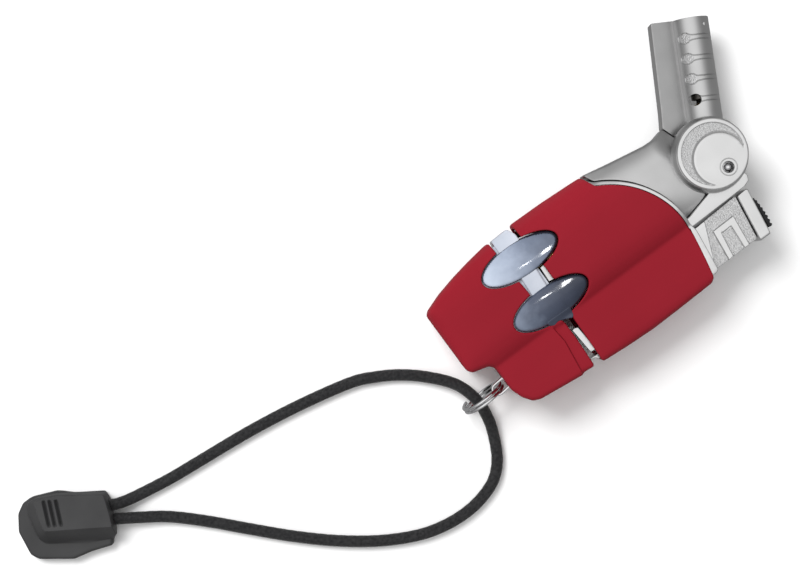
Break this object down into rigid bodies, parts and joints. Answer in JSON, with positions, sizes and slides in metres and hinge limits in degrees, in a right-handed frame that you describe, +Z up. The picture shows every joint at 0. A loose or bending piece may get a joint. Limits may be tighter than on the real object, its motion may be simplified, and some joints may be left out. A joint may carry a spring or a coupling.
{
  "type": "pocket butane torch",
  "caption": "Pocket butane torch lighter: red two-part shell with smoke windows, satin pivoting burner head, thumb trigger and a wrist lanyard on a split ring.",
  "frame": {"origin": "on the flat crown of the front shell's lower side, where the torch lies on a surface", "axes": "+X along the body towards the thumb button, +Y across it towards the side the burner stands up on, +Z up from the surface that the torch lies on"},
  "size_m": [0.2167, 0.0857, 0.02],
  "materials": {
    "red_shell": "soft-touch red moulded plastic",
    "smoke_lens": "clear smoke-grey moulded plastic",
    "zinc": "satin zinc casting",
    "steel": "bright plated steel",
    "brass": "turned brass",
    "black_plastic": "black moulded plastic",
    "black_rubber": "black rubber",
    "cord": "braided black cord",
    "ceramic": "glazed white ceramic"
  },
  "bodies": {
    "torch_body": {"rear_shell": "red_shell", "front_shell": "red_shell", "window_upper_front": "smoke_lens", "window_upper_back": "smoke_lens", "window_lower_front": "smoke_lens", "window_lower_back": "smoke_lens", "fuel_tank": "smoke_lens", "tank_seal": "black_rubber", "gas_valve_body": "brass", "fill_valve_body": "brass", "chassis": "zinc", "neck_casting": "zinc", "case_screw_1": "steel", "case_screw_2": "steel", "hub_cap_front": "zinc", "hub_cap_back": "zinc", "hub_rivet_front": "steel", "hub_rivet_back": "steel", "friction_washer_front": "steel", "friction_washer_back": "steel", "pivot_axle": "brass", "lever_pin": "steel", "piezo_body": "black_plastic", "return_spring": "steel", "gas_hose": "black_rubber", "ignition_lead": "black_rubber", "lanyard_lug": "steel", "lanyard_cord": "cord", "cord_end_base": "black_plastic", "cord_end_cover": "black_plastic"},
    "burner": {"burner_head": "zinc", "gas_jet": "brass", "burner_tube": "steel", "flame_screen": "steel", "electrode_insulator": "ceramic", "igniter_electrode": "steel"},
    "button": {"button_block": "zinc", "button_cap": "steel"},
    "slider": {"safety_slider": "black_rubber"},
    "plunger": {"piezo_plunger": "steel"},
    "lever": {"valve_lever": "steel"},
    "stem": {"valve_stem": "brass"},
    "filler": {"fill_valve_stem": "steel"},
    "adjuster": {"flame_adjuster": "black_plastic"},
    "ring": {"split_ring": "steel"}
  },
  "joints": [
    {"name": "head_pivot", "type": "hinge", "parent": "torch_body", "child": "burner", "pos_m": [0.0332, 0.0048, 0.01], "axis": [0, 0, 1], "range_deg": [-68, 0]},
    {"name": "button_press", "type": "slide", "parent": "torch_body", "child": "button", "axis": [-0.994, -0.1097, 0], "range_m": [0, 0.006], "stiffness_N_per_m": 700, "springref_m": -0.003, "deforming": ["return_spring"]},
    {"name": "safety_slide", "type": "slide", "parent": "button", "child": "slider", "axis": [0, 1, 0], "range_m": [0, 0.0018]},
    {"name": "plunger_slide", "type": "slide", "parent": "torch_body", "child": "plunger", "axis": [-0.994, -0.1097, 0], "range_m": [0, 0.006]},
    {"name": "lever_rock", "type": "hinge", "parent": "torch_body", "child": "lever", "pos_m": [0.0025, -0.0088, 0.01], "axis": [0, 0, -1], "range_deg": [0, 7.4]},
    {"name": "stem_lift", "type": "slide", "parent": "torch_body", "child": "stem", "axis": [1, 0, 0], "range_m": [0, 0.00146]},
    {"name": "fill_stem_press", "type": "slide", "parent": "torch_body", "child": "filler", "axis": [1, 0, 0], "range_m": [0, 0.001], "stiffness_N_per_m": 400, "springref_m": -0.001},
    {"name": "flame_adjust", "type": "hinge", "parent": "torch_body", "child": "adjuster", "pos_m": [-0.0465, 0.0025, 0.01], "axis": [1, 0, 0], "range_deg": [-120, 120]},
    {"name": "ring_swing", "type": "hinge", "parent": "torch_body", "child": "ring", "pos_m": [-0.0406, -0.0195, 0.01], "axis": [0, 0, 1], "range_deg": [-6, 6]}
  ],
  "couplings": [
    {"joint": "plunger_slide", "follows": "button_press", "ratio": 1},
    {"joint": "lever_rock", "follows": "button_press", "rad_per_m": 21.4},
    {"joint": "stem_lift", "follows": "button_press", "ratio": 0.24}
  ]
}
